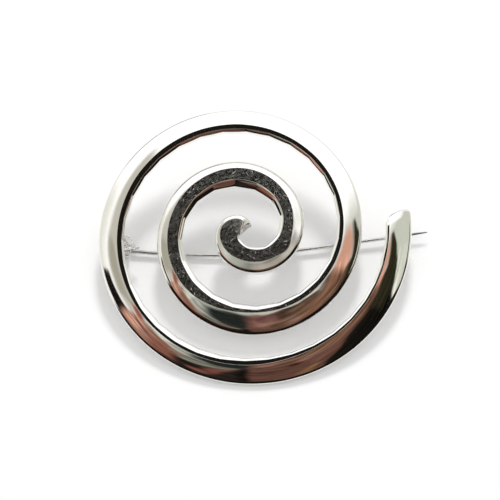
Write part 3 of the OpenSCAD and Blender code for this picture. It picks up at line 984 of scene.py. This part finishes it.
def satin_silver():
    """Silver as filed and pickled, for the back and the catch."""
    name = "satin silver"
    if name in bpy.data.materials:
        return bpy.data.materials[name]
    f = finishes()
    m, t, shader = new_material(name, 1.0)
    place = in_millimetres(t)
    spots = t.group(mottle(), Place=place, Size=1.6).outputs
    lines = t.group(scratch_lines(), Place=place, Direction=0.5, Fineness=8.0, Length=3.0, Amount=0.6)
    more = t.group(scratch_lines(), Place=place, Direction=-0.8, Fineness=9.0, Length=2.0, Amount=0.4)
    height = t.plus(t.plus(lines.outputs["Depth"], more.outputs["Depth"]), t.times(spots["Height"], 0.8))
    t.feed(shader["Normal"], bumped(t, height, 1.0, 0.012))
    t.feed(shader["Roughness"], t.ramp(spots["Rubbed"], 0.0, 1.0, 0.48, 0.6))
    t.feed(shader["Base Color"], t.mix(t.times(spots["Rubbed"], 0.5), f.satin, darker(f.satin, 0.85)))
    return m


def lumpy_silver(name, colour, size, depth, roughness, rubbed_share, metallic):
    """Silver with lumps of one size, duller and darker where it was rubbed."""
    m, t, shader = new_material(name, metallic)
    spots = t.group(mottle(), Place=in_millimetres(t), Size=size).outputs
    t.feed(shader["Normal"], bumped(t, spots["Height"], 1.0, depth))
    t.feed(shader["Roughness"], t.ramp(spots["Rubbed"], 0.0, 1.0, *roughness))
    t.feed(shader["Base Color"], t.mix(spots["Rubbed"], colour, darker(colour, rubbed_share)))
    return m


def soldered_silver():
    """Bright lumpy silver where the bracket was soldered on and rubbed over."""
    return lumpy_silver("soldered silver", finishes().satin, size=3.4, depth=0.8, roughness=(0.12, 0.3),
                        rubbed_share=0.9, metallic=0.7)


def rivet_silver():
    """The rivet's hammered silver."""
    return lumpy_silver("rivet silver", finishes().silver, size=0.6, depth=0.02, roughness=(0.12, 0.22),
                        rubbed_share=0.85, metallic=1.0)


POINT_PAINTED_DARK = (26.5, 29.0)     # where along the pin the wire's colour turns darker towards its point: a painted dark reflection
HINGE_DARKENS = (-21.5, -19.5)   # and where it is a little darker near the hinge


def pin_steel():
    """Drawn steel wire with fine marks along it, a painted dark reflection towards its point and painted
    shade along its sides.
    """
    f = finishes()
    m, t, shader = new_material("pin steel", 1.0)
    place = in_millimetres(t)
    spots = t.group(mottle(), Place=place, Size=0.8).outputs
    lines = t.group(scratch_lines(), Place=place, Direction=0.05, Fineness=14.0, Length=5.0, Amount=0.8)
    height = t.plus(lines.outputs["Depth"], t.times(spots["Height"], 0.4))
    t.feed(shader["Normal"], bumped(t, height, 0.8, 0.01))
    t.feed(shader["Roughness"], t.ramp(spots["Rubbed"], 0.0, 1.0, 0.26, 0.36))
    x = t.split(place)[0]
    dark = t.math("MAXIMUM", t.ramp(x, *POINT_PAINTED_DARK), t.ramp(x, *HINGE_DARKENS, 0.4, 0.0))
    colour = t.mix(spots["Rubbed"], f.steel, darker(f.steel, 0.85))
    # Painted dark reflection: the colour turns darker towards the point, and a little darker near the hinge
    colour = t.mix(dark, colour, darker(f.steel, 0.35))
    # Painted shade: the colour turns darker where the wire's surface turns away from the camera, a dark line
    # painted along each side
    edge = t.node("ShaderNodeLayerWeight")
    edge.inputs["Blend"].default_value = 0.5
    colour = t.mix(t.ramp(edge.outputs["Facing"], 0.72, 0.9), colour, darker(f.steel, 0.3))
    t.feed(shader["Base Color"], colour)
    return m


def floor_white():
    """The studio floor, which can't be seen from below."""
    f = finishes()
    m, t, shader = new_material("floor white", 0.0)
    grain = t.noise(in_millimetres(t), 0.02)
    t.feed(shader["Base Color"], t.mix(grain, f.floor, [min(1.0, c) for c in darker(f.floor, 1.01)]))
    shader["Roughness"].default_value = 0.9
    shader["Specular IOR Level"].default_value = 0.1
    from_below = t.node("ShaderNodeNewGeometry").outputs["Backfacing"]
    clear = t.node("ShaderNodeBsdfTransparent").outputs[0]
    white = t.nodes["Principled BSDF"].outputs[0]
    t.feed(t.nodes["Material Output"].inputs["Surface"], t.mix_shaders(from_below, white, clear))
    return m


# Stage

# What stands round the table and shows in the metal: soft white ahead, darker things at the viewer's side.
# name, direction round (degrees from +X towards +Y), half its width, angle from straight up, half its height,
# turn (degrees, right end down), softness of its edge, 1 for an oval, colour of 0 to 255
SURROUNDINGS = [
    ("far edge", 90, 80, 76, 14, 0, 3, 0, (232, 232, 230)),
    ("far shade", 116, 16, 76, 14, 0, 4, 0, (165, 165, 163)),
    ("pale right", 8, 26, 45, 50, 0, 10, 0, (214, 215, 206)),
    ("pale left", 160, 42, 20, 12, 0, 5, 0, (200, 196, 186)),
    ("grey left", 172, 14, 24, 7, 0, 4, 0, (170, 167, 153)),
    ("low left", 168, 26, 62, 26, 0, 9, 0, (236, 235, 226)),
    ("room", 281, 83, 55, 46, 0, 2.5, 0, (90, 66, 55)),
    ("overhead", 270, 84, 6, 8, 0, 4, 0, (190, 192, 182)),
    ("overhead right", 322, 42, 6, 5.5, 0, 2, 0, (200, 197, 186)),
    ("warm streak", 192, 14, 19.5, 2.4, 20, 1.2, 0, (154, 92, 76)),
    ("black card", 189, 11, 47, 13, -8, 1.3, 0, (24, 21, 18)),
    ("warm left", 214, 17, 36, 17, 0, 2, 0, (154, 114, 99)),
    ("warm left light", 202, 5, 31, 12, 0, 3, 0, (198, 150, 130)),
    ("warm left shade", 225, 9, 38, 14, 0, 4, 0, (128, 84, 70)),
    ("warm left line", 212, 14, 33, 1.5, 20, 1.2, 0, (128, 86, 74)),
    ("warm left foot", 216, 18, 53, 5, 0, 2, 0, (84, 54, 44)),
    ("grey green", 224, 22, 13, 7, 8, 3, 0, (162, 164, 155)),
    ("white streak", 203, 11, 14, 2.6, 10, 2, 0, (216, 221, 208)),
    ("dark middle", 256, 25, 40, 20, 0, 5, 0, (38, 31, 28)),
    ("brown band", 250, 15, 34, 4, -58, 2.5, 0, (108, 68, 60)),
    ("grey band", 247, 17, 23, 3.5, -20, 2.5, 0, (122, 124, 112)),
    ("grey ring", 250, 26, 20.5, 1.6, -12, 1.2, 0, (122, 116, 102)),
    ("dark spot", 254, 27, 12.2, 6.8, 0, 1.8, 1, (33, 37, 35)),
    ("dark post", 270, 7, 36, 18, 0, 2.5, 0, (22, 18, 16)),
    ("warm middle", 297, 28, 30, 22, 0, 3, 0, (94, 65, 56)),
    ("warm light", 290, 16, 15, 5, 20, 3, 0, (134, 97, 87)),
    ("warm light right", 320, 20, 16, 6, 0, 4, 0, (122, 94, 80)),
    ("red shade", 293, 4, 24, 3, 0, 2, 1, (62, 32, 24)),
    ("gold light", 297, 8, 40, 3, -50, 2, 0, (125, 92, 62)),
    ("brown strip", 340, 28, 17, 5, 0, 2, 0, (118, 86, 68)),
    ("olive shade", 292, 8, 17, 2.5, 0, 2, 1, (84, 64, 48)),
    ("brown dark line", 322, 24, 11.3, 1.2, 0, 1, 0, (70, 52, 40)),
    ("orange end", 13, 13, 18.5, 5.5, 0, 2, 1, (210, 158, 136)),
    ("warm dark line", 296, 20, 9.5, 1.4, -3, 1.2, 0, (96, 62, 62)),
    ("green shade", 318, 7, 9.5, 2, 0, 1.2, 1, (48, 50, 38)),
    ("black right", 340, 37, 51, 25, 0, 1.5, 1, (20, 18, 15)),
    ("olive right", 3, 22, 33, 9, 0, 1.5, 0, (42, 40, 27)),
    ("light foot", 10, 22, 44.5, 9, -28, 1.2, 0, (204, 207, 194)),
    ("near edge", 270, 76, 78, 20, 0, 5, 0, (20, 17, 14)),
]
OPEN_WHITE = (1.3, 1.3, 1.3)    # what shows where none of these stands
WOBBLE_SCALE, WOBBLE_DETAIL = 4.0, 3.0
WOBBLE_ROUND, WOBBLE_DOWN = 10.0, 5.0       # how many degrees their edges wobble
# Where level streaks cross them, in the columns of SURROUNDINGS from the direction to the oval
STREAKED = (281, 86, 40, 32, 0, 4, 0)
STREAK_ROUND, STREAK_DOWN = 0.03, 0.45      # streaks to a degree, round and down
STREAK_DARK, STREAK_LIGHT = 0.4, 1.8        # how much darker and lighter they make what they cross
TOP_TILT = 8.0           # degrees from straight up of the dark spot that the band's flat top mirrors
TOP_EDGE = (8.0, 12.0)   # where its edge starts and ends, in degrees from its middle
TOP_COLOUR = (26, 24, 21)

CAMERA_ELEVATION = 64.0
CAMERA_DISTANCE = 0.4
CAMERA_NEAREST = 0.01
SENSOR_WIDTH = 36.0
FRAME_WIDTH = 0.095      # what the frame spans at the brooch
AIM = (0.00087, -0.00314)   # how far right of and above the spiral's centre the camera aims
KEY_ELEVATION = 36.0
KEY_ASIDE = 0.05         # how far to the right the key light stands, as a share of its distance
KEY_DISTANCE, KEY_SIZE = 0.7, 0.15
FLOOR_RINGS, FLOOR_SIDES = (1.2, 0.6, 0.2, 0.06, 0.02), 64


def patch_group():
    """How much of one patch of the surroundings lies in a direction."""
    numbers = [("Round", 0.0), ("From top", 0.0), ("Direction", 0.0), ("Half width", 10.0), ("Middle", 45.0),
               ("Half height", 10.0), ("Turn", 0.0), ("Softness", 2.0), ("Oval", 0.0)]
    inputs = [(name, "NodeSocketFloat", value) for name, value in numbers]
    group, t, given, put = new_group("patch", inputs, ["Amount"])
    aside = t.math("WRAP", t.minus(given["Round"], given["Direction"]), 180.0, -180.0)
    down = t.minus(given["From top"], given["Middle"])
    turn = t.math("RADIANS", given["Turn"])
    cos, sin = t.math("COSINE", turn), t.math("SINE", turn)
    sideways = t.plus(t.times(aside, cos), t.times(down, sin))
    upright = t.minus(t.times(down, cos), t.times(aside, sin))
    soft = given["Softness"]
    masks, shares = [], []
    for off, size in ((sideways, given["Half width"]), (upright, given["Half height"])):
        masks.append(t.ramp(t.math("ABSOLUTE", off), t.minus(size, soft), t.plus(size, soft), 1.0, 0.0))
        shares.append(t.math("POWER", t.over(off, size), 2.0))
    square = t.times(*masks)
    soft = t.over(soft, given["Half height"])
    oval = t.ramp(t.math("SQRT", t.plus(*shares)), t.minus(1.0, soft), t.plus(1.0, soft), 1.0, 0.0)
    t.feed(put["Amount"], t.plus(square, t.times(given["Oval"], t.minus(oval, square))))
    return group


def mirrored_room(t):
    """The colour that the metal mirrors in each direction."""
    direction = t.node("ShaderNodeTexCoord").outputs["Generated"]
    x, y, z = t.split(direction)
    wobble = t.node("ShaderNodeSeparateColor")
    t.feed(wobble.inputs[0], t.noise(direction, WOBBLE_SCALE, WOBBLE_DETAIL, output="Color"))
    round_about = t.math("DEGREES", t.math("ARCTAN2", y, x))
    round_about = t.plus(round_about, t.times(t.minus(wobble.outputs[0], 0.5), WOBBLE_ROUND))
    from_top = t.math("DEGREES", t.math("ARCCOSINE", z))
    from_top = t.plus(from_top, t.times(t.minus(wobble.outputs[1], 0.5), WOBBLE_DOWN))
    patch = patch_group()

    def amount(around, half_width, middle, half_height, turn, softness, oval):
        return t.group(patch, Round=round_about, From_top=from_top, Direction=float(around),
                       Half_width=float(half_width), Middle=float(middle), Half_height=float(half_height),
                       Turn=float(turn), Softness=float(softness), Oval=float(oval)).outputs[0]

    colour = OPEN_WHITE
    for name, *place, rgb in SURROUNDINGS:
        colour = t.mix(amount(*place), colour, srgb(*rgb))

    # Streaks level with the horizon on the viewer's side
    drawn_out = t.joined(t.times(round_about, STREAK_ROUND), t.times(from_top, STREAK_DOWN))
    streak = t.noise(drawn_out, 1.0, 3.0, 0.55)
    shade = t.minus(t.ramp(streak, 0.3, 0.7, STREAK_DARK, STREAK_LIGHT, "LINEAR"), 1.0)
    colour = t.scaled(colour, t.plus(1.0, t.times(amount(*STREAKED), shade)))

    # The dark spot over the brooch that its flat top mirrors
    tilt = math.radians(TOP_TILT)
    spot = t.node("ShaderNodeVectorMath", operation="DOT_PRODUCT")
    t.feed(spot.inputs[0], direction)
    t.feed(spot.inputs[1], (0, math.sin(tilt), math.cos(tilt)))
    near = t.math("DEGREES", t.math("ARCCOSINE", spot.outputs["Value"]))
    return t.mix(t.ramp(near, *TOP_EDGE, 1.0, 0.0), colour, srgb(*TOP_COLOUR))


def build_world(scene):
    """Plain white for the camera, even light for matt surfaces and the room for the metal's reflections."""
    world = bpy.data.worlds.new("studio")
    scene.world = world
    world.use_nodes = True
    world.cycles.sampling_method = "NONE"
    world.node_tree.nodes.clear()
    t = Tree(world.node_tree)
    white = (1.0, 1.0, 1.0, 1.0)
    rays = t.node("ShaderNodeLightPath").outputs
    even = t.background(white, finishes().fill_strength)
    lit = t.mix_shaders(rays["Is Glossy Ray"], even, t.background(mirrored_room(t)))
    seen = t.mix_shaders(rays["Is Camera Ray"], lit, t.background(white))
    t.feed(t.node("ShaderNodeOutputWorld").inputs["Surface"], seen)


class BROOCH_OT_stage(Operator):
    """Sets up the plain floor, the soft light from behind and the camera"""
    bl_idname = "brooch.stage"
    bl_label = "Set up stage"

    def execute(self, context):
        scene = context.scene
        bm = bmesh.new()
        rings = [[bm.verts.new((r * math.cos(a), r * math.sin(a), 0)) for a in circle(FLOOR_SIDES)]
                 for r in FLOOR_RINGS]
        skin(bm, rings)
        bm.faces.new(rings[-1])
        mesh = bpy.data.meshes.new("floor")
        bm.to_mesh(mesh)
        bm.free()
        floor = bpy.data.objects.new("floor", mesh)
        mesh.materials.append(floor_white())
        scene.collection.objects.link(floor)

        lamp = bpy.data.lights.new("key light", "AREA")
        lamp.shape = "DISK"
        lamp.size = KEY_SIZE
        lamp.energy = finishes().key_power
        light = bpy.data.objects.new("key light", lamp)
        height = math.radians(KEY_ELEVATION)
        toward = Vector((KEY_ASIDE, math.cos(height), math.sin(height))).normalized()
        light.location = toward * KEY_DISTANCE
        light.rotation_euler = toward.to_track_quat("Z", "Y").to_euler()
        light.visible_glossy = False
        scene.collection.objects.link(light)

        build_world(scene)

        lens = bpy.data.cameras.new("camera")
        lens.sensor_width = SENSOR_WIDTH
        lens.lens = SENSOR_WIDTH * CAMERA_DISTANCE / FRAME_WIDTH
        lens.clip_start = CAMERA_NEAREST
        camera = bpy.data.objects.new("camera", lens)
        elevation = math.radians(CAMERA_ELEVATION)
        back = Vector((0, -math.cos(elevation), math.sin(elevation)))
        up = Vector((0, math.sin(elevation), math.cos(elevation)))
        aim = lay_down() @ Vector((0, 0, 0)) + Vector((AIM[0], 0, 0)) + up * AIM[1]
        camera.location = aim + back * CAMERA_DISTANCE
        camera.rotation_euler = back.to_track_quat("Z", "Y").to_euler()
        scene.collection.objects.link(camera)
        scene.camera = camera

        scene.view_settings.view_transform = "Standard"
        scene.cycles.use_denoising = True
        return {"FINISHED"}


# The add-on

STEPS = [BROOCH_OT_band, BROOCH_OT_bracket, BROOCH_OT_catch, BROOCH_OT_rivet, BROOCH_OT_pin, BROOCH_OT_stage]


class BROOCH_PT_panel(Panel):
    """Lists the brooch's sizes, finishes and building steps"""
    bl_idname = "BROOCH_PT_panel"
    bl_label = "Spiral brooch"
    bl_space_type = "VIEW_3D"
    bl_region_type = "UI"
    bl_category = "Brooch"

    def draw(self, context):
        layout = self.layout
        for group in (context.scene.brooch_sizes, context.scene.brooch_finish):
            box = layout.box()
            for name in group.bl_rna.properties.keys():
                if name not in ("rna_type", "name"):
                    box.prop(group, name)
        for step in STEPS:
            layout.operator(step.bl_idname, text=step.bl_label)


CLASSES = [BroochSizes, BroochFinish] + STEPS + [BROOCH_PT_panel]


def register():
    for c in CLASSES:
        bpy.utils.register_class(c)
    bpy.types.Scene.brooch_sizes = PointerProperty(type=BroochSizes)
    bpy.types.Scene.brooch_finish = PointerProperty(type=BroochFinish)


def unregister():
    del bpy.types.Scene.brooch_finish
    del bpy.types.Scene.brooch_sizes
    for c in reversed(CLASSES):
        bpy.utils.unregister_class(c)


def main():
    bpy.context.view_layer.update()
    register()
    bpy.ops.brooch.band()
    bpy.ops.brooch.bracket()
    bpy.ops.brooch.catch()
    bpy.ops.brooch.rivet()
    bpy.ops.brooch.pin()
    bpy.ops.brooch.stage()


if __name__ == "__main__":
    main()
